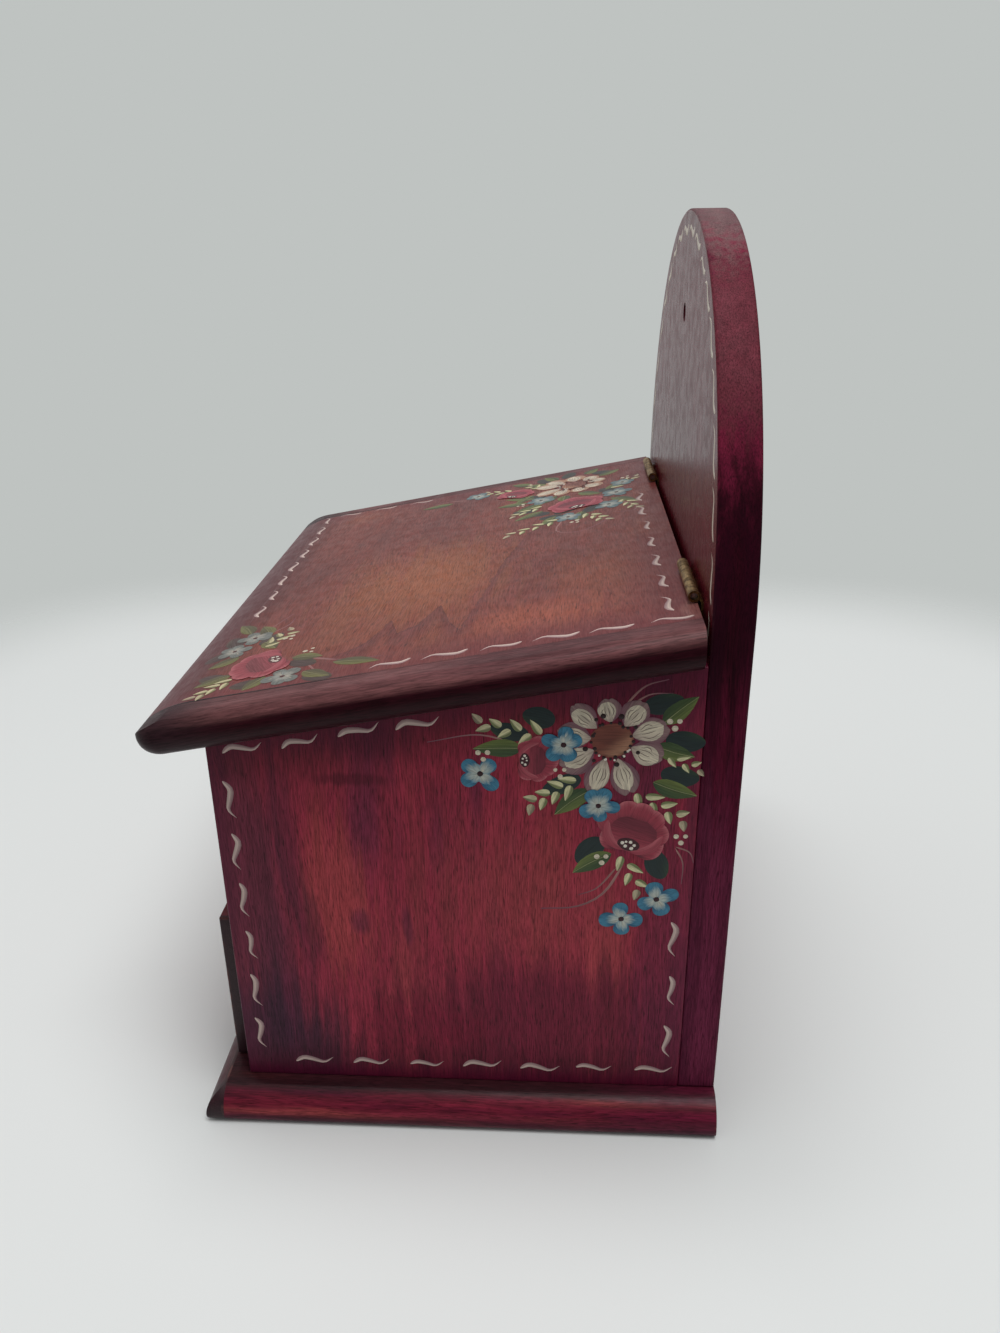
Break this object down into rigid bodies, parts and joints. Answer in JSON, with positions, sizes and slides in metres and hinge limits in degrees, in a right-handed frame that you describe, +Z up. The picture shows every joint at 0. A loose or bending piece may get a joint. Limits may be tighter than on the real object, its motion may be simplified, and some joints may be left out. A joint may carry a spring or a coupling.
{
  "type": "sloping-lid box with drawer and arched hanging back board",
  "caption": "Stained and painted wooden box with a sloping hinged lid, a drawer under the lidded compartment and an arched back board with a hanging hole.",
  "frame": {"origin": "middle of the base's underside", "axes": "+Z up, +Y towards the back board and the wall, +X to the right of someone who faces the drawer"},
  "size_m": [0.25, 0.1921, 0.296],
  "materials": {
    "stained_wood": "burgundy stain under semi-gloss varnish, painted with corner sprays of flowers and rows of comma strokes",
    "inner_wood": "thin satin stain",
    "knob_wood": "burgundy stain under semi-gloss varnish",
    "aged_brass": "aged, dulled brass",
    "steel": "plain steel, dulled"
  },
  "bodies": {
    "box": {"base_plate": "stained_wood", "base_front_strip": "stained_wood", "right_side": "stained_wood", "left_side": "stained_wood", "back_board": "stained_wood", "front_board": "stained_wood", "shelf": "inner_wood", "right_hinge_back_leaf": "aged_brass", "right_hinge_pin": "steel", "left_hinge_back_leaf": "aged_brass", "left_hinge_pin": "steel", "hinge_back_screws": "aged_brass", "base_screws": "steel", "back_nails": "steel"},
    "lid": {"lid_panel": "stained_wood", "lid_right_strip": "stained_wood", "lid_left_strip": "stained_wood", "right_hinge_lid_leaf": "aged_brass", "left_hinge_lid_leaf": "aged_brass", "hinge_lid_screws": "aged_brass"},
    "drawer": {"drawer_front": "stained_wood", "drawer_right_side": "inner_wood", "drawer_left_side": "inner_wood", "drawer_back": "inner_wood", "drawer_bottom": "inner_wood", "drawer_knob": "knob_wood", "knob_screw": "steel", "drawer_brads": "steel"}
  },
  "joints": [
    {"name": "lid_hinge", "type": "hinge", "parent": "box", "child": "lid", "pos_m": [0, 0.07375, 0.18818], "axis": [-1, 0, 0], "range_deg": [0, 103]},
    {"name": "drawer_slide", "type": "slide", "parent": "box", "child": "drawer", "axis": [0, -1, 0], "range_m": [0, 0.11]}
  ]
}
